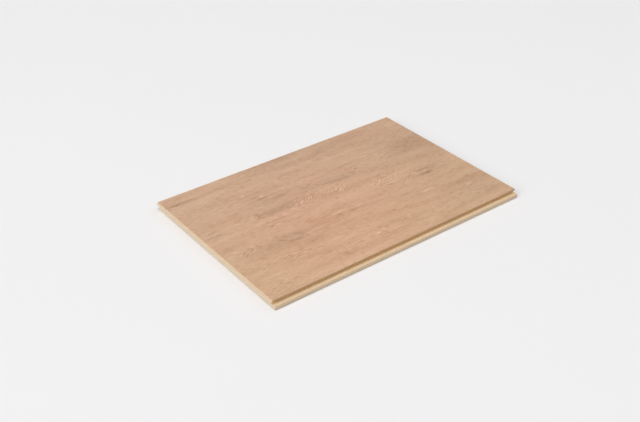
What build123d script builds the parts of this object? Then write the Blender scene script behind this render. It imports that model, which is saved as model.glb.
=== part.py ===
from build123d import *
import os

# Laminate floor sample: a short piece of click-lock plank, lying decor up.
# X runs along the grain, Y across the plank towards the tongue, Z up.
# The origin is on the underside, below the centre of the decor.

# Plank
plank_length = 285.0  # along the grain, from saw cut to saw cut
cover_width = 190.0  # from joint plane to joint plane, the width of the decor
plank_thickness = 8.0  # core and decor together
decor_thickness = 0.3  # pressed oak decor and wear layer

# Groove side: a lower lip that carries the next plank, and a groove above it
lip_reach = 3.55  # of the lower lip past the joint plane
lip_height = 4.05  # of the lower lip above the floor
lip_rounding = 0.45  # on the lip's upper outer edge
lip_chamfer = 0.5  # on the lip's lower outer edge
crest_reach = 0.3  # from the joint plane out to where the locking channel ends
channel_depth = 0.3  # of the locking channel below the lip's top
groove_depth = 1.8  # from the joint plane in to the groove's end
groove_opening = 2.0  # from the level of the lip's top up to the groove's roof
groove_end_radius = 0.5  # in both corners of the groove's end
lead_in = 0.6  # chamfer under the upper lip, which lets the tongue angle in

# Tongue side: a tongue for the next groove, and an undercut for the next lip
nose_radius = 0.5  # on both edges of the tongue's nose
undercut_radius = 0.4  # in the undercut's inner corner
heel_chamfer = 0.3  # on the core's lower edge beside the undercut

# Play between a tongue and the groove it locks into
tongue_play = 0.1  # above the tongue
lock_play = 0.1  # between the channel and the tongue, and above the lip
nose_play = 0.3  # in front of the tongue's nose
lip_end_play = 0.3  # in front of the lower lip

# Worked out from the sizes above
core_thickness = plank_thickness - decor_thickness
near_joint = -cover_width / 2
far_joint = cover_width / 2
groove_roof = lip_height + groove_opening
tongue_top = groove_roof - tongue_play
tongue_reach = groove_depth - nose_play
undercut_depth = lip_reach + lip_end_play
undercut_roof = lip_height + lock_play
widest_fillet_share = 0.45  # of the wall that a pair of fillets shares


def block(left: float, right: float, bottom: float, top: float) -> Sketch:
    """A rectangle between two places across the plank and two heights."""
    return Pos(left, bottom) * Rectangle(right - left, top - bottom, align=Align.MIN)


def channel_floor(raised: float) -> Edge:
    """The locking channel's round floor, from the groove's end out to its crest."""
    middle = (groove_depth - crest_reach) / 2
    return ThreePointArc(
        (groove_depth, lip_height + raised),
        (middle, lip_height - channel_depth + raised),
        (-crest_reach, lip_height + raised),
    )


def groove_cut() -> Sketch:
    """The groove and locking channel, measured inwards from the joint plane."""
    mouth = Polyline(
        (-crest_reach, lip_height),
        (-crest_reach, groove_roof + lead_in),
        (0, groove_roof + lead_in),
        (lead_in, groove_roof),
        (groove_depth, groove_roof),
        (groove_depth, lip_height),
    )
    cut = make_face(Curve() + [mouth, channel_floor(0)])
    end_corners = cut.vertices().group_by(Axis.X)[-1]
    return fillet(end_corners, min(groove_end_radius, widest_fillet_share * groove_opening))


def undercut() -> Sketch:
    """The space under the tongue, which clears the next plank's lip and channel."""
    walls = Polyline(
        (groove_depth, undercut_roof),
        (groove_depth, 0),
        (-undercut_depth, 0),
        (-undercut_depth, undercut_roof),
        (-crest_reach, undercut_roof),
    )
    cut = make_face(Curve() + [walls, channel_floor(lock_play)])
    inner_corner = cut.vertices().group_by(Axis.X)[0].sort_by(Axis.Y)[-1]
    return fillet(inner_corner, undercut_radius)


def tongue() -> Sketch:
    """The tongue with its round nose, measured outwards from the joint plane."""
    rough = block(-crest_reach, tongue_reach, 0, tongue_top) - undercut()
    nose_edges = rough.vertices().group_by(Axis.X)[-1]
    nose_height = nose_edges.sort_by(Axis.Y)[-1].Y - nose_edges.sort_by(Axis.Y)[0].Y
    return fillet(nose_edges, min(nose_radius, widest_fillet_share * nose_height))


def lower_lip() -> Sketch:
    """The lower lip outside the joint plane, with its edges eased."""
    lip = block(-lip_reach, 0, 0, lip_height)
    upper_edge = lip.vertices().group_by(Axis.X)[0].sort_by(Axis.Y)[-1]
    lip = fillet(upper_edge, lip_rounding)
    lower_edge = lip.vertices().group_by(Axis.Y)[0].sort_by(Axis.X)[0]
    return chamfer(lower_edge, lip_chamfer)


def core_section() -> Sketch:
    """The core's section across the plank, with both halves of the click joint."""
    board = block(near_joint, far_joint, 0, core_thickness)
    groove_side = Pos(near_joint, 0) * lower_lip()
    tongue_side = Pos(far_joint, 0) * tongue()
    section = board + groove_side
    section -= Pos(near_joint, 0) * groove_cut()
    section -= Pos(far_joint, 0) * undercut()
    section += tongue_side
    heel = section.vertices().group_by(Axis.Y)[0].sort_by(Axis.X)[-1]
    return chamfer(heel, heel_chamfer)


def along_the_grain(section: Sketch) -> Part:
    """A section across the plank, drawn out to the plank's length."""
    return extrude(Plane.YZ * section, plank_length / 2, both=True)


hdf_core = along_the_grain(core_section())
decor_layer = along_the_grain(block(near_joint, far_joint, core_thickness, plank_thickness))

os.makedirs("parts", exist_ok=True)
export_step(hdf_core, "parts/hdf_core.step")
export_step(decor_layer, "parts/decor_layer.step")
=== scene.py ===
"""Looks of a laminate floor sample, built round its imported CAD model.

The decor sheet is modelled anew with its pressed grain and saw-chipped ends. The fibreboard
core keeps its CAD mesh and gets a finish. A plain studio and the photograph's camera stand
round them. Lengths are in metres, unless a name says millimetres.
"""

import logging
import math
from dataclasses import dataclass, field
from enum import Enum

import bpy
from mathutils import Matrix, Vector


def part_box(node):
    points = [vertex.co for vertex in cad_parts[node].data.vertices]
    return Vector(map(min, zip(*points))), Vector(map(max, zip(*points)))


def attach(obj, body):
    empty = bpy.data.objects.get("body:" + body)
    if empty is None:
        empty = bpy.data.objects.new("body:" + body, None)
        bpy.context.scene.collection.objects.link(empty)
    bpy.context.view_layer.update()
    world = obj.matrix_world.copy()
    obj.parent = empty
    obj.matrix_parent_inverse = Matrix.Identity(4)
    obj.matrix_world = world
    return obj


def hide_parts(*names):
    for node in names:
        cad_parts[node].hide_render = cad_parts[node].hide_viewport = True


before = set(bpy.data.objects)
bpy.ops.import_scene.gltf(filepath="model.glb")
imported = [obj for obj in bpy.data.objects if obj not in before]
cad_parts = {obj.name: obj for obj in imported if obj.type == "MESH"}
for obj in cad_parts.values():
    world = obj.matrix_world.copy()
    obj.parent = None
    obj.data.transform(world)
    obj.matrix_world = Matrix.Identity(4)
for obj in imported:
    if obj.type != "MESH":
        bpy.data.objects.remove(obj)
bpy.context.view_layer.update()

log = logging.getLogger("floor_sample")

Socket = bpy.types.NodeSocket
Value = float | Socket
Colour = tuple[float, float, float, float]
Triple = tuple[float, float, float]

MILLIMETRE = 0.001
TOUCH = 1e-6  # two places nearer than this are one


class Sum(Enum):
    """What a math node does with its two numbers."""

    ADD = "ADD"
    TAKE = "SUBTRACT"
    TIMES = "MULTIPLY"
    SIZE = "ABSOLUTE"


class Tone(Enum):
    """How a mark of the oak figure, or a band of painted light, differs from the wood round it."""

    DARK = "dark"
    LIGHT = "light"
    GREY = "grey"
    FLAME = "flame"
    FLECK = "fleck"
    PINK = "pink"


class SawEnd(Enum):
    """The sample's two saw-cut ends, by the way that points into the plank."""

    LEFT = 1.0
    RIGHT = -1.0


@dataclass(frozen=True)
class GrainLayer:
    """A layer of stretched noise: its cell in millimetres, and how far it swings about zero."""

    along: float
    across: float
    detail: float
    reach: float
    turn_deg: float = 0.0


class NodeBench:
    """Lays out the nodes of one material."""

    def __init__(self, name: str) -> None:
        """Starts a node material.

        Args:
            name: the material's name.
        """
        self.material = bpy.data.materials.new(name)
        self.material.use_nodes = True
        self.tree = self.material.node_tree
        self.shader = self.tree.nodes["Principled BSDF"]

    def node(self, kind: str, **settings: object) -> bpy.types.Node:
        """Adds a node.

        Args:
            kind: the node's type name.
            settings: properties to set on it.

        Returns:
            The new node.
        """
        made = self.tree.nodes.new(kind)
        for name, value in settings.items():
            setattr(made, name, value)
        return made

    def feed(self, socket: Socket, value: object) -> None:
        """Links a socket to an input, or sets the input to a plain value.

        Args:
            socket: the input.
            value: an output socket, a number, a vector or a colour.
        """
        if isinstance(value, bpy.types.NodeSocket):
            self.tree.links.new(value, socket)
        else:
            socket.default_value = value

    def sum(self, step: Sum, first: Value, second: Value = 0.0) -> Socket:
        """Works one number out of two.

        Args:
            step: what to do with them.
            first: the first number.
            second: the second number.

        Returns:
            The result's socket.
        """
        made = self.node("ShaderNodeMath", operation=step.value)
        self.feed(made.inputs[0], first)
        self.feed(made.inputs[1], second)
        return made.outputs[0]

    def add_up(self, numbers: list[Socket]) -> Socket:
        """Adds up a list of numbers.

        Args:
            numbers: at least one socket.

        Returns:
            The total's socket.
        """
        total = numbers[0]
        for number in numbers[1:]:
            total = self.sum(Sum.ADD, total, number)
        return total

    def place(self) -> Socket:
        """Where a point lies in the piece's own frame, in millimetres."""
        coordinates = self.node("ShaderNodeTexCoord")
        scaled = self.node("ShaderNodeVectorMath", operation="SCALE")
        self.feed(scaled.inputs[0], coordinates.outputs["Object"])
        self.feed(scaled.inputs["Scale"], 1.0 / MILLIMETRE)
        return scaled.outputs[0]

    def parts(self, vector: Socket) -> tuple[Socket, Socket, Socket]:
        """Splits a vector.

        Args:
            vector: the vector's socket.

        Returns:
            Its three numbers.
        """
        split = self.node("ShaderNodeSeparateXYZ")
        self.feed(split.inputs[0], vector)
        return split.outputs[0], split.outputs[1], split.outputs[2]

    def vector(self, x: Value, y: Value, z: Value) -> Socket:
        """Joins three numbers.

        Args:
            x: along the plank.
            y: across it.
            z: up.

        Returns:
            The vector's socket.
        """
        joined = self.node("ShaderNodeCombineXYZ")
        for socket, value in zip(joined.inputs, (x, y, z)):
            self.feed(socket, value)
        return joined.outputs[0]

    def shift(self, place: Socket, by: Socket) -> Socket:
        """Adds one vector to another.

        Args:
            place: the vector to move.
            by: how far.

        Returns:
            The moved vector.
        """
        moved = self.node("ShaderNodeVectorMath", operation="ADD")
        self.feed(moved.inputs[0], place)
        self.feed(moved.inputs[1], by)
        return moved.outputs[0]

    def stretch(
        self, texture: bpy.types.Node, place: Socket, cell: Triple, turn_deg: float, centre: Triple
    ) -> None:
        """Lays a texture out in cells of a given size.

        Args:
            texture: the texture node.
            place: the place in millimetres.
            cell: the cell's size along its own axes.
            turn_deg: how far the cells are turned, seen from above.
            centre: where the count of cells starts.
        """
        self.feed(texture.inputs["Vector"], place)
        layout = texture.texture_mapping
        layout.vector_type = "TEXTURE"
        layout.translation = centre
        layout.rotation = (0.0, 0.0, math.radians(turn_deg))
        layout.scale = cell

    def noise(
        self, place: Socket, cell: Triple, detail: float = 1.0, turn_deg: float = 0.0,
        centre: Triple = (0, 0, 0),
    ) -> Socket:
        """Smooth noise, stretched to cells of a given size.

        Args:
            place: the place in millimetres.
            cell: the size of one blot of noise, in millimetres.
            detail: how many finer layers are added.
            turn_deg: how far the cells are turned, seen from above.
            centre: moves the pattern, so that two like layers differ.

        Returns:
            The noise, from 0 to 1 and mostly near a half.
        """
        made = self.node("ShaderNodeTexNoise")
        self.stretch(made, place, cell, turn_deg, centre)
        self.feed(made.inputs["Scale"], 1.0)
        self.feed(made.inputs["Detail"], detail)
        self.feed(made.inputs["Roughness"], 0.5)
        return made.outputs[0]

    def blot(
        self, place: Socket, centre: Triple, cell: Triple, turn_deg: float, strength: float
    ) -> Socket:
        """One soft oval blot.

        Args:
            place: the place in millimetres.
            centre: the middle of the blot.
            cell: how far the blot reaches along its own axes.
            turn_deg: how far it is turned, seen from above.
            strength: its value in the middle.

        Returns:
            The blot, which fades to 0 at its rim.
        """
        made = self.node("ShaderNodeTexGradient", gradient_type="SPHERICAL")
        self.stretch(made, place, cell, turn_deg, centre)
        return self.ramp(made.outputs["Fac"], 0.0, 0.92, 0.0, strength)

    def ramp(
        self, value: Socket, start: float, end: float, low: float = 0.0, high: float = 1.0
    ) -> Socket:
        """A soft step between two numbers.

        Args:
            value: what is stepped.
            start: where the step starts.
            end: where it ends.
            low: the result up to the start.
            high: the result from the end on.

        Returns:
            The stepped number.
        """
        made = self.node("ShaderNodeMapRange", interpolation_type="SMOOTHSTEP")
        for name, number in zip(
            ("Value", "From Min", "From Max", "To Min", "To Max"), (value, start, end, low, high)
        ):
            self.feed(made.inputs[name], number)
        return made.outputs[0]

    def swing(self, noise: Socket, reach: float) -> Socket:
        """Noise about zero, to be added to a tone.

        Args:
            noise: noise from 0 to 1.
            reach: how much the tone changes over the noise's whole range.

        Returns:
            The swing, from minus to plus half the reach.
        """
        return self.sum(Sum.TIMES, self.sum(Sum.TAKE, noise, 0.5), reach)

    def layer(self, place: Socket, grain: GrainLayer) -> Socket:
        """Lays one layer of grain.

        Args:
            place: the place in millimetres.
            grain: the layer.

        Returns:
            The layer's swing about zero.
        """
        cell = (grain.along, grain.across, 1.0)
        return self.swing(self.noise(place, cell, grain.detail, grain.turn_deg), grain.reach)

    def blend(self, share: Value, first: object, second: object) -> Socket:
        """Mixes two colours.

        Args:
            share: how much of the second colour shows.
            first: a colour or its socket.
            second: a colour or its socket.

        Returns:
            The mixed colour.
        """
        mix = self.node("ShaderNodeMix", data_type="RGBA")
        self.feed(mix.inputs[0], share)
        self.feed(mix.inputs[6], first)
        self.feed(mix.inputs[7], second)
        return mix.outputs[2]

    def shade(self, colour: Socket, tone: Socket, reach: Triple = (1.0, 1.0, 1.0)) -> Socket:
        """Makes a colour lighter or darker.

        Args:
            colour: the colour's socket.
            tone: the change, where 0 leaves the colour as it is.
            reach: how much of the change red, green and blue take.

        Returns:
            The shaded colour.
        """
        change = self.node("ShaderNodeVectorMath", operation="SCALE")
        self.feed(change.inputs[0], reach)
        self.feed(change.inputs["Scale"], tone)
        shaded = self.node("ShaderNodeVectorMath", operation="MULTIPLY_ADD")
        self.feed(shaded.inputs[0], change.outputs[0])
        self.feed(shaded.inputs[1], colour)
        self.feed(shaded.inputs[2], colour)
        return shaded.outputs[0]

    def tint(self, share: Value, colour: Socket, dye: Colour) -> Socket:
        """Dyes a colour, so that its own pattern stays.

        Args:
            share: how much of the dye shows.
            colour: the colour's socket.
            dye: what each part of the colour is multiplied by.

        Returns:
            The dyed colour.
        """
        mix = self.node("ShaderNodeMix", data_type="RGBA", blend_type="MULTIPLY")
        self.feed(mix.inputs[0], share)
        self.feed(mix.inputs[6], colour)
        self.feed(mix.inputs[7], dye)
        return mix.outputs[2]

    def bump(self, height: Socket, depth: float) -> None:
        """Gives the shader a fine relief.

        Args:
            height: the relief, in which 1 stands for the whole depth.
            depth: that depth in metres.
        """
        relief = self.node("ShaderNodeBump")
        self.feed(relief.inputs["Strength"], 1.0)
        self.feed(relief.inputs["Distance"], depth)
        self.feed(relief.inputs["Height"], height)
        self.feed(self.shader.inputs["Normal"], relief.outputs[0])


@dataclass(frozen=True)
class Mark:
    """One mark of the oak figure or of painted light, measured in millimetres from the middle of the
    decor.
    """

    tone: Tone
    along: float
    across: float
    half_length: float
    half_width: float
    strength: float
    turn_deg: float = 0.0


# A mark fades out at this many times its half length and half width
MARK_FADE = 1.25

OAK_FIGURE_AND_PAINTED_LIGHT = (
    # Thin dark lines with a pale strip between them, like a closed knot
    Mark(Tone.DARK, 98.0, -11.4, 15.0, 1.6, 0.66, -2.0),
    Mark(Tone.DARK, 93.0, -13.2, 9.0, 1.1, 0.28, 2.0),
    Mark(Tone.DARK, 94.5, -18.6, 12.0, 1.6, 0.66, -3.0),
    Mark(Tone.DARK, 97.0, -20.8, 10.0, 1.6, 0.70, -5.0),
    Mark(Tone.DARK, 108.0, -14.8, 5.0, 1.2, 0.22, 8.0),
    Mark(Tone.LIGHT, 95.0, -15.6, 12.0, 1.4, 0.26),
    Mark(Tone.GREY, 98.0, -17.0, 30.0, 10.0, 0.34),
    # Lines that lead up to the knot and away from it
    Mark(Tone.FLAME, 72.0, -16.0, 14.0, 6.0, 0.9, 12.0),
    Mark(Tone.LIGHT, 121.5, -17.0, 6.0, 1.6, 0.34, -32.0),
    Mark(Tone.DARK, 118.0, -11.5, 5.0, 1.4, 0.20, -38.0),
    Mark(Tone.DARK, 52.0, -14.5, 6.0, 1.3, 0.32, 3.0),
    Mark(Tone.LIGHT, 57.5, -13.0, 6.0, 1.5, 0.32),
    # A dark streak that tapers in from the left end
    Mark(Tone.DARK, -129.0, 79.3, 20.0, 2.8, 0.38, -3.0),
    Mark(Tone.DARK, -133.0, 79.6, 8.0, 2.2, 0.36),
    Mark(Tone.DARK, -111.0, 77.6, 13.0, 2.6, 0.16, -4.0),
    Mark(Tone.GREY, -128.0, 75.8, 26.0, 4.5, 0.48),
    Mark(Tone.LIGHT, -116.0, 83.2, 15.0, 1.9, 0.30),
    Mark(Tone.LIGHT, -135.5, 76.5, 3.5, 1.7, 0.30),
    # Short lines at the left end
    Mark(Tone.DARK, -131.0, 12.2, 14.0, 1.6, 0.36, 3.0),
    Mark(Tone.DARK, -130.0, 18.7, 10.0, 1.8, 0.42, 4.0),
    Mark(Tone.GREY, -130.0, 16.0, 18.0, 6.0, 0.25),
    # Lines above the middle, which step down to the right
    Mark(Tone.DARK, -70.0, 45.2, 14.0, 1.6, 0.38, 2.0),
    Mark(Tone.LIGHT, -64.0, 42.8, 20.0, 1.2, 0.18),
    Mark(Tone.DARK, -60.0, 40.0, 18.0, 1.7, 0.36, 1.0),
    Mark(Tone.GREY, -58.0, 33.0, 36.0, 10.0, 0.55),
    Mark(Tone.GREY, -60.0, 16.0, 40.0, 10.0, 0.55),
    Mark(Tone.DARK, -45.0, 33.5, 14.0, 1.7, 0.42, -1.0),
    Mark(Tone.DARK, -18.0, 30.5, 7.0, 1.7, 0.40),
    Mark(Tone.DARK, 20.0, 22.0, 13.0, 2.2, 0.28, -2.0),
    Mark(Tone.GREY, 12.0, 26.0, 48.0, 8.0, 0.62, -5.0),
    # Lines in the far right part
    Mark(Tone.LIGHT, 67.0, 43.5, 8.0, 1.5, 0.36),
    Mark(Tone.DARK, 68.0, 37.5, 9.0, 1.6, 0.30),
    Mark(Tone.DARK, 45.0, 65.0, 7.0, 1.6, 0.26, -38.0),
    Mark(Tone.DARK, 80.0, 29.5, 4.5, 1.4, 0.26, 45.0),
    # Long fine lines along the middle
    Mark(Tone.DARK, -68.0, 1.3, 21.0, 1.3, 0.38, -1.5),
    Mark(Tone.LIGHT, -53.5, -3.0, 10.0, 1.2, 0.30),
    Mark(Tone.DARK, -53.5, -8.6, 9.0, 1.2, 0.28, 5.0),
    Mark(Tone.LIGHT, -18.0, -23.5, 17.0, 1.9, 0.45),
    Mark(Tone.LIGHT, 6.0, -25.0, 9.0, 1.4, 0.32, 6.0),
    Mark(Tone.DARK, -2.0, -28.2, 8.0, 1.4, 0.38),
    # A darker patch with slanting streaks in the left half
    Mark(Tone.GREY, -74.0, -30.5, 30.0, 11.0, 0.52, -2.0),
    Mark(Tone.GREY, -116.0, -31.0, 34.0, 10.0, 0.30),
    Mark(Tone.DARK, -84.5, -30.0, 5.0, 1.8, 0.42, -35.0),
    Mark(Tone.DARK, -66.3, -29.6, 5.5, 2.0, 0.48, -28.0),
    Mark(Tone.DARK, -75.0, -35.6, 11.0, 1.8, 0.46, -8.0),
    Mark(Tone.LIGHT, -52.0, -32.5, 14.0, 1.5, 0.28),
    Mark(Tone.DARK, -42.0, -37.5, 5.0, 2.0, 0.30),
    Mark(Tone.FLAME, -117.0, -26.5, 15.0, 7.0, 0.9, 20.0),
    Mark(Tone.DARK, -115.5, -41.0, 6.0, 1.6, 0.26, -24.0),
    # Pale streaks and dashes in the near part
    Mark(Tone.LIGHT, -123.0, -67.0, 14.0, 1.5, 0.40),
    Mark(Tone.LIGHT, -80.0, -68.5, 10.0, 1.5, 0.40),
    Mark(Tone.LIGHT, -45.0, -55.5, 11.0, 1.4, 0.36, 1.0),
    Mark(Tone.LIGHT, 75.0, -44.5, 12.0, 2.4, 0.45),
    Mark(Tone.DARK, 53.0, -37.8, 6.5, 1.5, 0.34),
    Mark(Tone.DARK, 26.0, -52.0, 3.2, 1.3, 0.34),
    Mark(Tone.DARK, 39.5, -54.0, 4.0, 1.4, 0.28, 20.0),
    Mark(Tone.DARK, 22.5, -70.0, 7.0, 1.6, 0.28, 12.0),
    Mark(Tone.LIGHT, 8.0, -75.8, 13.0, 1.4, 0.30),
    Mark(Tone.DARK, 7.0, -78.1, 13.0, 1.2, 0.20),
    Mark(Tone.DARK, 35.0, -79.0, 12.0, 1.3, 0.28, -4.0),
    Mark(Tone.DARK, 58.5, -82.0, 2.4, 1.7, 0.36),
    Mark(Tone.DARK, 127.0, -79.8, 14.0, 1.2, 0.26, 3.0),
    # Slanting flames along the middle
    Mark(Tone.FLAME, -29.0, 13.0, 24.0, 8.0, 1.0, 8.0),
    Mark(Tone.FLAME, 6.0, 9.0, 17.0, 9.0, 0.95),
    Mark(Tone.FLAME, 55.0, -4.0, 20.0, 7.0, 0.85, 5.0),
    Mark(Tone.FLAME, 84.0, -27.0, 10.0, 6.0, 0.6),
    # Clusters of short flecks
    Mark(Tone.FLECK, -102.0, 18.0, 9.0, 5.0, 1.0),
    Mark(Tone.FLECK, -82.0, 15.5, 12.0, 6.5, 1.0),
    Mark(Tone.FLECK, -131.0, 15.0, 13.0, 5.0, 0.7),
    Mark(Tone.FLECK, -101.0, 45.0, 17.0, 8.0, 0.7),
    Mark(Tone.FLECK, -121.0, 59.0, 9.0, 4.5, 0.8),
    Mark(Tone.FLECK, -62.0, 41.0, 24.0, 7.0, 0.7),
    Mark(Tone.FLECK, -75.0, 58.0, 8.0, 4.5, 0.7),
    Mark(Tone.FLECK, -32.0, 57.0, 12.0, 6.0, 0.7),
    Mark(Tone.FLECK, 43.0, 29.0, 16.0, 8.0, 0.9),
    Mark(Tone.FLECK, 84.0, 36.0, 10.0, 9.0, 0.8),
    Mark(Tone.FLECK, 122.0, 60.0, 10.0, 7.0, 0.7),
    Mark(Tone.FLECK, -75.0, -5.0, 12.0, 5.0, 0.7),
    Mark(Tone.FLECK, -58.0, -32.0, 18.0, 6.0, 0.8),
    Mark(Tone.FLECK, -88.0, -53.0, 16.0, 9.0, 1.0),
    Mark(Tone.FLECK, -119.0, -80.0, 9.0, 5.0, 0.7),
    Mark(Tone.FLECK, -58.0, -79.0, 17.0, 3.5, 0.8),
    Mark(Tone.FLECK, -5.0, -73.0, 10.0, 7.0, 0.8),
    Mark(Tone.FLECK, 25.0, -28.0, 8.0, 6.0, 0.8),
    Mark(Tone.FLECK, 56.0, -69.0, 7.0, 4.5, 0.7),
    Mark(Tone.FLECK, 91.0, -71.0, 11.0, 8.0, 0.9),
    Mark(Tone.FLECK, 116.0, -65.0, 11.0, 6.0, 0.8),
    Mark(Tone.FLECK, 97.0, -14.0, 24.0, 9.0, 0.15),
    Mark(Tone.FLECK, 54.0, -14.0, 14.0, 5.0, 0.8),
    # The wood is pinkest left of the middle
    Mark(Tone.PINK, -30.0, -28.0, 130.0, 115.0, 1.0),
    # Painted light along the near side, which makes the decor paler there
    Mark(Tone.LIGHT, 0.0, -91.0, 170.0, 9.0, 0.10),
    Mark(Tone.LIGHT, -112.0, -86.0, 55.0, 13.0, 0.13),
    Mark(Tone.LIGHT, 105.0, -90.0, 45.0, 9.0, 0.09),
    # The right part and the far side are greyer
    Mark(Tone.GREY, 122.0, 34.0, 48.0, 34.0, 0.58),
    Mark(Tone.GREY, 15.0, 86.0, 95.0, 22.0, 0.42),
    Mark(Tone.GREY, 122.0, -68.0, 46.0, 32.0, 0.28),
)


@dataclass(frozen=True)
class OakDecorFinish:
    """Printed light oak under a satin wear layer, with pressed pores."""

    half_length_mm: float
    half_cover_mm: float
    top_mm: float
    name: str = "oak_decor"
    pink_oak: Colour = (0.652, 0.389, 0.2455, 1.0)
    tan_oak: Colour = (0.612, 0.397, 0.2465, 1.0)
    far_dye: Colour = (1.0, 1.0, 1.06, 1.0)
    grey_oak: Colour = (0.503, 0.323, 0.209, 1.0)
    dark_oak: Colour = (0.335, 0.156, 0.081, 1.0)
    pale_oak: Colour = (0.880, 0.590, 0.400, 1.0)
    sawn_edge: Colour = (0.900, 0.730, 0.560, 1.0)
    # Painted shade on the sheet's milled edge, which darkens the band below the decor
    milled_edge_painted_shade: Colour = (0.400, 0.284, 0.178, 1.0)
    # Blue takes more of a tone than red, so dark grain is browner and light grain paler
    tone_reach: Triple = (0.73, 1.06, 1.27)
    # From broad bands to fibres
    bands: tuple[GrainLayer, ...] = (
        GrainLayer(160.0, 18.0, 2.0, 0.30),
        GrainLayer(52.0, 11.0, 1.0, 0.34),
        GrainLayer(30.0, 3.2, 2.0, 0.06),
        GrainLayer(5.5, 1.4, 2.0, 0.31),
        GrainLayer(13.0, 0.42, 2.0, 0.42),
    )
    flecks: GrainLayer = GrainLayer(7.0, 1.0, 1.0, 1.55)
    flames: GrainLayer = GrainLayer(8.0, 1.25, 1.0, 1.6, 38.0)
    near_wander: GrainLayer = GrainLayer(26.0, 8.0, 1.0, 1.8)
    far_wander: GrainLayer = GrainLayer(150.0, 48.0, 1.0, 12.0)
    pink_blots: GrainLayer = GrainLayer(60.0, 24.0, 2.0, 0.8)
    dull_blots: GrainLayer = GrainLayer(30.0, 6.0, 2.0, 0.10)
    pore_shade: float = -0.27
    pore_dulling: float = 0.10
    pore_relief: float = -0.7
    # Painted shade in the pressed dents, darker where the face lies deeper
    sunk_painted_shade: float = -0.08
    sunk_dulling: float = 0.08
    # The left end is a little lighter than the right one
    fade_per_mm: float = -0.00018
    roughness: float = 0.46
    gloss: float = 0.35
    pore_depth_mm: float = 0.07
    fine_depth_mm: float = 0.03

    def marks(self, bench: NodeBench, place: Socket, tone: Tone) -> Value:
        """Adds up the marks of one tone.

        Args:
            bench: the material's nodes.
            place: the place on the decor, as it is or drawn along with the grain.
            tone: the tone to add up.

        Returns:
            How strongly that tone shows.
        """
        total: Value = 0.0
        for mark in OAK_FIGURE_AND_PAINTED_LIGHT:
            if mark.tone is not tone:
                continue
            centre = (mark.along, mark.across, 0.0)
            cell = (MARK_FADE * mark.half_length, MARK_FADE * mark.half_width, MARK_FADE)
            mask = bench.blot(place, centre, cell, mark.turn_deg, mark.strength)
            total = bench.sum(Sum.ADD, total, mask)
        return total

    def grain(self, bench: NodeBench, flow: Socket) -> list[Socket]:
        """The tones that cover the whole face, from broad bands to fibres.

        Args:
            bench: the material's nodes.
            flow: the place on the decor, drawn along with the grain.

        Returns:
            One change of tone for each layer.
        """
        return [bench.layer(flow, band) for band in self.bands]

    def clusters(self, bench: NodeBench, flow: Socket, face: Socket) -> list[Socket]:
        """The tones that stand in clusters: flecks along the grain and slanting flames.

        Args:
            bench: the material's nodes.
            flow: the place on the decor, drawn along with the grain.
            face: the place on the decor.

        Returns:
            One change of tone for each layer.
        """
        where = bench.ramp(bench.noise(flow, (34.0, 9.0, 1.0), 2.0), 0.50, 0.64, 0.0, 0.48)
        where = bench.sum(Sum.ADD, where, self.marks(bench, face, Tone.FLECK))
        return [
            bench.sum(Sum.TIMES, bench.layer(flow, self.flecks), where),
            bench.sum(Sum.TIMES, bench.layer(flow, self.flames), self.marks(bench, face, Tone.FLAME)),
        ]

    def pores(self, bench: NodeBench, flow: Socket) -> Socket:
        """Fine dark pores, gathered along the growth lines.

        Args:
            bench: the material's nodes.
            flow: the place on the decor, drawn along with the grain.

        Returns:
            How strongly the pores show, from 0 to 1.
        """
        dashes = bench.ramp(bench.noise(flow, (7.5, 0.25, 1.0), 1.0), 0.57, 0.62)
        lines = bench.ramp(bench.noise(flow, (48.0, 5.0, 1.0), 2.0), 0.42, 0.60, 0.15, 1.0)
        return bench.sum(Sum.TIMES, dashes, lines)

    def wood(self, bench: NodeBench, face: Socket, across: Socket, grey: Value) -> Socket:
        """The wood's own colour: pinkest left of the middle, yellower towards the near side.

        Args:
            bench: the material's nodes.
            face: the place on the decor.
            across: the place across the plank.
            grey: how strongly the grey marks show.

        Returns:
            The colour before its grain.
        """
        pink = self.marks(bench, face, Tone.PINK)
        hue = bench.sum(Sum.ADD, pink, bench.layer(face, self.pink_blots))
        colour = bench.blend(hue, self.tan_oak, self.pink_oak)
        far = bench.ramp(across, -self.half_cover_mm, self.half_cover_mm)
        colour = bench.tint(far, colour, self.far_dye)
        return bench.blend(grey, colour, self.grey_oak)

    def figure(self, bench: NodeBench, straight: Socket, colour: Socket) -> Socket:
        """Lays the dark and light marks of the figure, and the painted light along the near side, over
        the wood, broken up into dashes.

        Args:
            bench: the material's nodes.
            straight: the place on the decor, drawn a little along with the grain.
            colour: the wood's colour.

        Returns:
            The colour with its figure.
        """
        dashes = bench.noise(straight, (5.5, 1.0, 1.0), 2.0, 0.0, (3.0, 90.0, 0.0))
        broken = bench.ramp(dashes, 0.32, 0.60, 0.25, 1.2)
        dark = bench.sum(Sum.TIMES, self.marks(bench, straight, Tone.DARK), broken)
        light = bench.sum(Sum.TIMES, self.marks(bench, straight, Tone.LIGHT), broken)
        return bench.blend(light, bench.blend(dark, colour, self.dark_oak), self.pale_oak)

    def rim(self, bench: NodeBench, along: Socket, height: Socket, colour: Socket) -> Socket:
        """Adds the sheet's own edge: pale where it was sawn, and dark with painted shade where it was
        milled.

        Args:
            bench: the material's nodes.
            along: the place along the plank.
            height: the height above the floor.
            colour: the face's colour.

        Returns:
            The colour of face and edge.
        """
        end = self.half_length_mm
        sawn = bench.ramp(bench.sum(Sum.SIZE, along), end - 0.7, end - 0.02)
        edge_colour = bench.blend(sawn, self.milled_edge_painted_shade, self.sawn_edge)
        edge = bench.ramp(height, self.top_mm - 0.10, self.top_mm - 0.14)
        return bench.blend(edge, colour, edge_colour)

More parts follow.
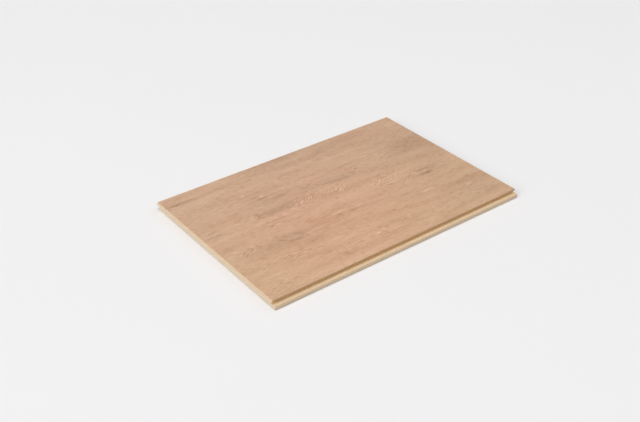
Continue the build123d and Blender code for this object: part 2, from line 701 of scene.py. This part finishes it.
    def wear_layer(self, bench: NodeBench, flow: Socket, pores: Socket, sunk: Socket) -> None:
        """Sets the gloss and the fine relief of the wear layer.

        Args:
            bench: the material's nodes.
            flow: the place on the decor, drawn along with the grain.
            pores: how strongly the printed pores show.
            sunk: how deep the face is pressed, from 0 to 1.
        """
        dull = bench.add_up([
            bench.layer(flow, self.dull_blots),
            bench.sum(Sum.TIMES, pores, self.pore_dulling),
            bench.sum(Sum.TIMES, sunk, self.sunk_dulling),
        ])
        bench.feed(bench.shader.inputs["Roughness"], bench.sum(Sum.ADD, dull, self.roughness))
        bench.feed(bench.shader.inputs["Specular IOR Level"], self.gloss)
        fine = bench.sum(Sum.TIMES, pores, self.pore_relief)
        fine = bench.sum(Sum.ADD, fine, bench.noise(flow, (5.0, 0.3, 1.0), 1.0))
        bench.bump(fine, self.fine_depth_mm * MILLIMETRE)

    def make(self) -> bpy.types.Material:
        """Builds the finish.

        Returns:
            The node material.
        """
        bench = NodeBench(self.name)
        x, y, z = bench.parts(bench.place())
        face = bench.vector(x, y, 0.0)

        # The grain wanders across the plank as it runs along it
        straight = bench.shift(face, bench.vector(0.0, bench.layer(face, self.near_wander), 0.0))
        flow = bench.shift(straight, bench.vector(0.0, bench.layer(face, self.far_wander), 0.0))

        # Printed grain and pores, and painted shade in the pressed dents
        pores = self.pores(bench, flow)
        sunk = bench.ramp(z, self.top_mm - 0.2 * self.pore_depth_mm, self.top_mm - self.pore_depth_mm)
        tones = self.grain(bench, flow) + self.clusters(bench, flow, face)
        tones.append(bench.sum(Sum.TIMES, pores, self.pore_shade))
        tones.append(bench.sum(Sum.TIMES, sunk, self.sunk_painted_shade))
        tones.append(bench.sum(Sum.TIMES, x, self.fade_per_mm))

        colour = self.wood(bench, face, y, self.marks(bench, straight, Tone.GREY))
        colour = bench.shade(colour, bench.add_up(tones), self.tone_reach)
        colour = self.figure(bench, straight, colour)
        bench.feed(bench.shader.inputs["Base Color"], self.rim(bench, x, z, colour))
        self.wear_layer(bench, flow, pores, sunk)
        return bench.material


@dataclass(frozen=True)
class FibreboardFinish:
    """Pale fibreboard: sawn at the ends, milled along the sides, papered underneath."""

    half_length_mm: float
    half_cover_mm: float
    thickness_mm: float
    name: str = "hdf"
    heart: Colour = (0.760, 0.590, 0.410, 1.0)
    skin: Colour = (0.640, 0.470, 0.310, 1.0)
    dark_fibre: Colour = (0.360, 0.235, 0.140, 1.0)
    pale_fibre: Colour = (0.880, 0.730, 0.560, 1.0)
    # Painted shade on the milled walls above the groove
    wall_painted_shade: Colour = (0.760, 0.690, 0.540, 1.0)
    # Painted light inside the groove, lighter than the board's own colour
    groove_painted_light: Colour = (1.130, 1.080, 0.960, 1.0)
    lip_dye: Colour = (0.950, 0.930, 0.860, 1.0)
    end_dye: Colour = (0.940, 0.970, 1.000, 1.0)
    crown_dye: Colour = (1.230, 1.160, 1.100, 1.0)
    # Partly undoes the darker skin at the foot of the sawn ends, partly a painted cool reflection of
    # the floor
    foot_dye_and_reflection: Colour = (1.000, 1.080, 1.260, 1.0)
    pale_paper: Colour = (0.820, 0.770, 0.700, 1.0)
    dark_paper: Colour = (0.730, 0.680, 0.605, 1.0)
    paper_mm: float = 0.35
    groove_depth_mm: float = 1.8
    groove_roof_mm: float = 6.05
    lip_top_mm: float = 4.05
    saw_slant: float = 0.22
    fine_depth_mm: float = 0.05
    roughness: float = 0.86
    gloss: float = 0.2

    def joint_painted_shading(self, bench: NodeBench, colour: Socket, across: Socket, height: Socket) -> Socket:
        """Colours the milled joint: painted shade on the walls above the groove, painted light in the
        groove, and a dye on the lip's top.

        Args:
            bench: the material's nodes.
            colour: the board's colour.
            across: the place across the plank.
            height: the height above the floor.

        Returns:
            The dyed colour.
        """
        out = bench.sum(Sum.SIZE, across)
        inner = self.half_cover_mm - self.groove_depth_mm
        joint = bench.ramp(out, inner - 0.3, inner - 0.1)
        past = bench.ramp(out, self.half_cover_mm + 0.1, self.half_cover_mm + 0.6)
        above = bench.ramp(height, self.lip_top_mm - 0.35, self.lip_top_mm - 0.05)
        wall = bench.ramp(height, self.groove_roof_mm + 0.1, self.groove_roof_mm + 0.6)
        colour = bench.tint(bench.sum(Sum.TIMES, past, above), colour, self.lip_dye)
        # Painted light inside the groove
        inside = bench.sum(Sum.TIMES, joint, bench.sum(Sum.TAKE, 1.0, past))
        colour = bench.tint(inside, colour, self.groove_painted_light)
        # Painted shade on the walls above the groove
        return bench.tint(bench.sum(Sum.TIMES, joint, wall), colour, self.wall_painted_shade)

    def tint_ends_and_paint_reflection(self, bench: NodeBench, colour: Socket, at_end: Socket, height: Socket) -> Socket:
        """Dyes the sawn ends: pale below the decor, and greyer towards the floor, partly a painted
        reflection of the floor.

        Args:
            bench: the material's nodes.
            colour: the board's colour.
            at_end: 1 on a sawn end, 0 elsewhere.
            height: the height above the floor.

        Returns:
            The dyed colour.
        """
        crown = bench.ramp(height, 0.65 * self.thickness_mm, self.thickness_mm)
        foot = bench.ramp(height, 0.5 * self.thickness_mm, 0.05 * self.thickness_mm)
        colour = bench.tint(at_end, colour, self.end_dye)
        colour = bench.tint(bench.sum(Sum.TIMES, at_end, crown), colour, self.crown_dye)
        # Partly undoes the darker skin, partly painted reflection of the floor towards the foot
        return bench.tint(bench.sum(Sum.TIMES, at_end, foot), colour, self.foot_dye_and_reflection)

    def board(self, bench: NodeBench, place: Socket, height: Socket) -> Socket:
        """The pressed board, denser and darker towards its two faces.

        Args:
            bench: the material's nodes.
            place: the place in millimetres.
            height: the height above the floor.

        Returns:
            The board's colour.
        """
        half = self.thickness_mm / 2
        from_middle = bench.sum(Sum.SIZE, bench.sum(Sum.TAKE, height, half))
        ragged = bench.swing(bench.noise(place, (6.0, 6.0, 0.8), 2.0), 1.2)
        dense = bench.ramp(bench.sum(Sum.ADD, from_middle, ragged), 0.35 * half, 1.05 * half)
        return bench.blend(dense, self.heart, self.skin)

    def tool_lines(
        self, bench: NodeBench, place: Socket, across: Socket, height: Socket, at_end: Socket
    ) -> Socket:
        """Saw lines on the ends, cutter lines along the sides.

        Args:
            bench: the material's nodes.
            place: the place in millimetres.
            across: the place across the plank.
            height: the height above the floor.
            at_end: 1 on a sawn end, 0 elsewhere.

        Returns:
            The lines, from 0 to 1.
        """
        slanted = bench.sum(Sum.ADD, across, bench.sum(Sum.TIMES, height, self.saw_slant))
        saw = bench.noise(bench.vector(0.0, slanted, 0.0), (1.0, 0.55, 1.0), 2.0)
        cutter = bench.noise(place, (60.0, 0.4, 0.25), 2.0)
        lines = bench.node("ShaderNodeMix", data_type="FLOAT")
        bench.feed(lines.inputs[0], at_end)
        bench.feed(lines.inputs[2], cutter)
        bench.feed(lines.inputs[3], saw)
        return lines.outputs[0]

    def fibres(self, bench: NodeBench, place: Socket, colour: Socket, tool: Socket) -> Socket:
        """Matted fibres that lie flat in the board, and the shade of the tool's lines.

        Args:
            bench: the material's nodes.
            place: the place in millimetres.
            colour: the board's colour.
            tool: the tool's lines.

        Returns:
            The colour with its fibres.
        """
        mat = bench.swing(bench.noise(place, (1.6, 1.6, 0.28), 3.0), 0.34)
        cloud = bench.swing(bench.noise(place, (14.0, 14.0, 1.6), 2.0), 0.16)
        colour = bench.shade(colour, bench.add_up([mat, cloud, bench.swing(tool, 0.16)]))
        dots = bench.noise(place, (0.9, 0.4, 0.2), 2.0, 20.0)
        colour = bench.blend(bench.ramp(dots, 0.62, 0.74, 0.0, 0.45), colour, self.dark_fibre)
        threads = bench.noise(place, (2.0, 0.5, 0.2), 1.0, -30.0, (5.0, 3.0, 1.0))
        return bench.blend(bench.ramp(threads, 0.60, 0.74, 0.0, 0.6), colour, self.pale_fibre)

    def paper(self, bench: NodeBench, place: Socket, height: Socket, colour: Socket) -> Socket:
        """Pale paper, which covers the underside and shows as a thin line along its rim.

        Args:
            bench: the material's nodes.
            place: the place in millimetres.
            height: the height above the floor.
            colour: the board's colour.

        Returns:
            The colour with its paper.
        """
        under = bench.ramp(height, self.paper_mm + 0.05, self.paper_mm - 0.05)
        pulp = bench.noise(place, (5.0, 2.0, 1.0), 4.0)
        return bench.blend(under, colour, bench.blend(pulp, self.pale_paper, self.dark_paper))

    def make(self) -> bpy.types.Material:
        """Builds the finish.

        Returns:
            The node material.
        """
        bench = NodeBench(self.name)
        place = bench.place()
        x, y, z = bench.parts(place)
        end = self.half_length_mm
        at_end = bench.ramp(bench.sum(Sum.SIZE, x), end - 0.06, end - 0.02)
        tool = self.tool_lines(bench, place, y, z, at_end)
        colour = self.fibres(bench, place, self.board(bench, place, z), tool)

        # The milled joint gets painted shade on its walls and painted light in its groove, the sawn
        # ends their own dyes and a painted reflection of the floor
        ends = self.tint_ends_and_paint_reflection(bench, colour, at_end, z)
        colour = bench.blend(at_end, self.joint_painted_shading(bench, colour, y, z), ends)
        bench.feed(bench.shader.inputs["Base Color"], self.paper(bench, place, z, colour))

        rough = bench.sum(Sum.ADD, bench.swing(tool, 0.10), self.roughness)
        bench.feed(bench.shader.inputs["Roughness"], rough)
        bench.feed(bench.shader.inputs["Specular IOR Level"], self.gloss)
        relief = bench.sum(Sum.ADD, bench.noise(place, (0.7, 0.7, 0.25), 2.0), tool)
        bench.bump(relief, self.fine_depth_mm * MILLIMETRE)
        return bench.material


@dataclass(frozen=True)
class FloorFinish:
    """A matt pale floor with a barely mottled surface."""

    name: str = "pale_floor"
    pale: Colour = (0.874, 0.866, 0.868, 1.0)
    shade: Colour = (0.864, 0.856, 0.858, 1.0)
    mottle_cell: Triple = (180.0, 180.0, 180.0)
    roughness: float = 0.9
    gloss: float = 0.1

    def make(self) -> bpy.types.Material:
        """Builds the finish.

        Returns:
            The node material.
        """
        bench = NodeBench(self.name)
        mottle = bench.noise(bench.place(), self.mottle_cell, 2.0)
        bench.feed(bench.shader.inputs["Base Color"], bench.blend(mottle, self.pale, self.shade))
        bench.feed(bench.shader.inputs["Roughness"], self.roughness)
        bench.feed(bench.shader.inputs["Specular IOR Level"], self.gloss)
        return bench.material


@dataclass
class DecorSheet:
    """The pressed oak decor on the core's face, which replaces the plain CAD sheet."""

    finish: OakDecorFinish
    low: Vector
    high: Vector
    cells_along: int = 300
    cells_across: int = 316
    pore_cell: Triple = (0.0085, 0.0011, 1.0)
    pore_steps: tuple[float, float] = (0.58, 0.74)
    furrow_depth: float = 0.03 * MILLIMETRE
    furrow_cell: Triple = (0.045, 0.0030, 1.0)
    furrow_steps: tuple[float, float] = (0.45, 0.75)
    chip_reach: float = 0.55 * MILLIMETRE
    chip_drop: float = 0.10 * MILLIMETRE
    chip_cell: Triple = (1.0, 0.0016, 1.0)
    chip_steps: tuple[float, float] = (0.60, 0.78)
    smooth_deg: float = 35.0
    piece: bpy.types.Object | None = field(default=None, init=False)

    def build(self) -> None:
        """Models the sheet: a fine grid, folded down at its rim, pressed and chipped."""
        self.lay_grid()
        self.fold_rim()
        self.press_grain()
        for end in SawEnd:
            self.chip_end(end)
        bpy.ops.object.shade_smooth_by_angle(angle=math.radians(self.smooth_deg))

    def lay_grid(self) -> None:
        """Adds the face as a grid, fine enough to take the pressed pores."""
        size = self.high - self.low
        middle = (self.high + self.low) / 2
        bpy.ops.object.select_all(action="DESELECT")
        bpy.ops.mesh.primitive_grid_add(
            x_subdivisions=self.cells_along,
            y_subdivisions=self.cells_across,
            size=1.0,
            location=(middle.x, middle.y, self.high.z),
        )
        self.piece = bpy.context.object
        self.piece.name = "decor_face"
        self.piece.data.name = "decor_face"
        self.piece.scale = (size.x, size.y, 1.0)
        bpy.ops.object.transform_apply(location=True, rotation=True, scale=True)

    def fold_rim(self) -> None:
        """Extrudes the rim down to the core and closes the sheet underneath."""
        drop = self.low.z - self.high.z
        bpy.ops.object.mode_set(mode="EDIT")
        bpy.ops.mesh.select_mode(type="EDGE")
        bpy.ops.mesh.select_all(action="SELECT")
        bpy.ops.mesh.region_to_loop()
        bpy.ops.mesh.extrude_edges_move(TRANSFORM_OT_translate={"value": (0.0, 0.0, drop)})
        bpy.ops.mesh.extrude_edges_move(TRANSFORM_OT_translate={"value": (0.0, 0.0, 0.0)})
        bpy.ops.mesh.merge(type="CENTER")
        bpy.ops.mesh.select_all(action="SELECT")
        bpy.ops.mesh.normals_make_consistent(inside=False)
        bpy.ops.object.mode_set(mode="OBJECT")

    def top_points(self, within: float) -> list[int]:
        """Finds points of the upper face.

        Args:
            within: how far from either saw-cut end a point may lie.

        Returns:
            The points' indices.
        """
        found = []
        for point in self.piece.data.vertices:
            from_end = min(point.co.x - self.low.x, self.high.x - point.co.x)
            if point.co.z > self.high.z - 0.5 * (self.high.z - self.low.z) and from_end <= within:
                found.append(point.index)
        return found

    def carve(
        self, name: str, group: str, cell: Triple, steps: tuple[float, float], way: str, depth: float
    ) -> None:
        """Moves a group of points by a stretched cloud pattern, and applies it.

        Args:
            name: the pattern's name.
            group: the vertex group that moves.
            cell: the size of one cloud along X, Y and Z.
            steps: the cloud values where the move starts and is whole.
            way: the axis to move along.
            depth: how far the whole move goes.
        """
        bpy.ops.object.empty_add(location=(0.0, 0.0, self.high.z))
        ruler = bpy.context.object
        ruler.scale = cell
        clouds = bpy.data.textures.new(name, type="CLOUDS")
        clouds.noise_scale = 1.0
        clouds.noise_depth = 1
        clouds.use_color_ramp = True
        for element, step, grey in zip(clouds.color_ramp.elements, steps, (0.0, 1.0)):
            element.position = step
            element.color = (grey, grey, grey, 1.0)
        bpy.ops.object.select_all(action="DESELECT")
        self.piece.select_set(True)
        bpy.context.view_layer.objects.active = self.piece
        bpy.ops.object.modifier_add(type="DISPLACE")
        press = self.piece.modifiers[-1]
        press.texture = clouds
        press.texture_coords = "OBJECT"
        press.texture_coords_object = ruler
        press.vertex_group = group
        press.direction = way
        press.mid_level = 0.0
        press.strength = depth
        bpy.ops.object.modifier_apply(modifier=press.name)
        bpy.data.objects.remove(ruler)
        bpy.data.textures.remove(clouds)

    def press_grain(self) -> None:
        """Presses pores and shallow furrows into the face."""
        face = self.piece.vertex_groups.new(name="face")
        face.add(self.top_points(self.high.x - self.low.x), 1.0, "REPLACE")
        self.carve("furrows", "face", self.furrow_cell, self.furrow_steps, "Z", -self.furrow_depth)
        pore_depth = self.finish.pore_depth_mm * MILLIMETRE
        self.carve("pores", "face", self.pore_cell, self.pore_steps, "Z", -pore_depth)

    def chip_end(self, end: SawEnd) -> None:
        """Breaks small chips out of the decor along one saw cut.

        Args:
            end: the saw-cut end.
        """
        edge_x = self.low.x if end is SawEnd.LEFT else self.high.x
        points = self.piece.data.vertices
        near = [index for index in self.top_points(TOUCH) if abs(points[index].co.x - edge_x) < TOUCH]
        name = f"chips_{end.name.lower()}"
        self.piece.vertex_groups.new(name=name).add(near, 1.0, "REPLACE")
        self.carve(name, name, self.chip_cell, self.chip_steps, "X", end.value * self.chip_reach)
        self.carve(name, name, self.chip_cell, self.chip_steps, "Z", -self.chip_drop)

    def dress(self) -> None:
        """Gives the sheet its finish and its body, and hides the CAD node that it replaces."""
        self.piece.data.materials.clear()
        self.piece.data.materials.append(self.finish.make())
        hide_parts("decor_layer")
        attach(self.piece, "root")


@dataclass
class FibreboardCore:
    """The fibreboard core with its click profile, which keeps its CAD mesh."""

    finish: FibreboardFinish
    piece: bpy.types.Object

    def dress(self) -> None:
        """Gives the core its finish."""
        self.piece.material_slots[0].material = self.finish.make()


@dataclass(frozen=True)
class Softbox:
    """A large soft studio lamp, turned to the sample."""

    name: str
    stand: Triple
    power: float
    aim: Triple = (0.0, 0.0, 0.0)
    width: float = 3.2
    height: float = 3.2

    def hang(self) -> None:
        """Hangs the lamp and turns it to what it lights."""
        bpy.ops.object.light_add(type="AREA", location=self.stand)
        lamp = bpy.context.object
        lamp.name = self.name
        lamp.data.shape = "RECTANGLE"
        lamp.data.size = self.width
        lamp.data.size_y = self.height
        lamp.data.energy = self.power
        way = Vector(self.aim) - Vector(self.stand)
        lamp.rotation_euler = way.to_track_quat("-Z", "Y").to_euler()


@dataclass
class Studio:
    """A plain pale floor under soft light."""

    floor_finish: FloorFinish
    floor_size: float = 14.0
    floor_drop: float = 0.05 * MILLIMETRE
    sky: Colour = (1.0, 1.0, 1.0, 1.0)
    sky_strength: float = 0.35
    lamps: tuple[Softbox, ...] = (
        Softbox("overhead_softbox", (0.0, 0.0, 6.0), 76.0),
        Softbox("high_left_softbox", (-3.0, 0.0, 5.2), 52.4),
        Softbox("low_left_softbox", (-5.2, 0.0, 3.0), 138.8),
        Softbox("right_softbox", (4.24, 0.0, 4.24), 55.6),
        Softbox("front_softbox", (0.0, -3.0, 5.2), 31.2),
    )

    def build(self) -> None:
        """Lays the floor, hangs the lamps and lights the sky."""
        self.lay_floor()
        for lamp in self.lamps:
            lamp.hang()
        self.light_sky()

    def lay_floor(self) -> None:
        """Lays the floor just under the sample, so that no two faces share a plane."""
        bpy.ops.object.select_all(action="DESELECT")
        bpy.ops.mesh.primitive_plane_add(size=self.floor_size, location=(0.0, 0.0, -self.floor_drop))
        floor = bpy.context.object
        floor.name = "floor"
        floor.data.materials.append(self.floor_finish.make())

    def light_sky(self) -> None:
        """Fills the room with even light, and shows colours as they are."""
        world = bpy.data.worlds.new("studio_room")
        world.use_nodes = True
        room = world.node_tree.nodes["Background"]
        room.inputs["Color"].default_value = self.sky
        room.inputs["Strength"].default_value = self.sky_strength
        bpy.context.scene.world = world
        bpy.context.scene.view_settings.view_transform = "Standard"


@dataclass
class PhotoCamera:
    """A camera at the photograph's viewing angle, placed from the middle of the decor face."""

    target: Vector
    stand: Triple = (-0.48562, -0.614973, 0.490133)
    heading_deg: float = 37.0339
    tilt_deg: float = 32.9443
    roll_deg: float = -0.3439
    lens_mm: float = 54.3547
    sensor_mm: float = 36.0
    nearest: float = 0.01
    farthest: float = 50.0

    def place(self) -> None:
        """Sets up the camera as the scene's own."""
        data = bpy.data.cameras.new("photo_camera")
        data.sensor_fit = "HORIZONTAL"
        data.sensor_width = self.sensor_mm
        data.lens = self.lens_mm
        data.clip_start = self.nearest
        data.clip_end = self.farthest
        camera = bpy.data.objects.new("photo_camera", data)
        bpy.context.scene.collection.objects.link(camera)
        turn = Matrix.Rotation(-math.radians(self.heading_deg), 4, "Z")
        tilt = Matrix.Rotation(math.radians(90.0 - self.tilt_deg), 4, "X")
        roll = Matrix.Rotation(math.radians(self.roll_deg), 4, "Z")
        move = Matrix.Translation(self.target + Vector(self.stand))
        camera.matrix_world = move @ turn @ tilt @ roll
        bpy.context.scene.camera = camera


def main() -> None:
    """Builds the sample, the studio and the camera in order."""
    logging.basicConfig(level=logging.INFO, format="%(message)s")
    low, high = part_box("decor_layer")
    half = (high - low) / (2 * MILLIMETRE)
    PhotoCamera(Vector((low.x + high.x, low.y + high.y, 2 * high.z)) / 2).place()
    log.info("camera placed")
    Studio(FloorFinish()).build()
    log.info("studio lit")
    board = FibreboardFinish(half.x, half.y, low.z / MILLIMETRE)
    core = FibreboardCore(board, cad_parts["hdf_core"])
    core.dress()
    log.info("hdf_core dressed")
    oak = OakDecorFinish(half.x, half.y, high.z / MILLIMETRE)
    decor = DecorSheet(oak, low, high)
    decor.build()
    decor.dress()
    log.info("decor_face built with %d points", len(decor.piece.data.vertices))


if __name__ == "__main__":
    main()
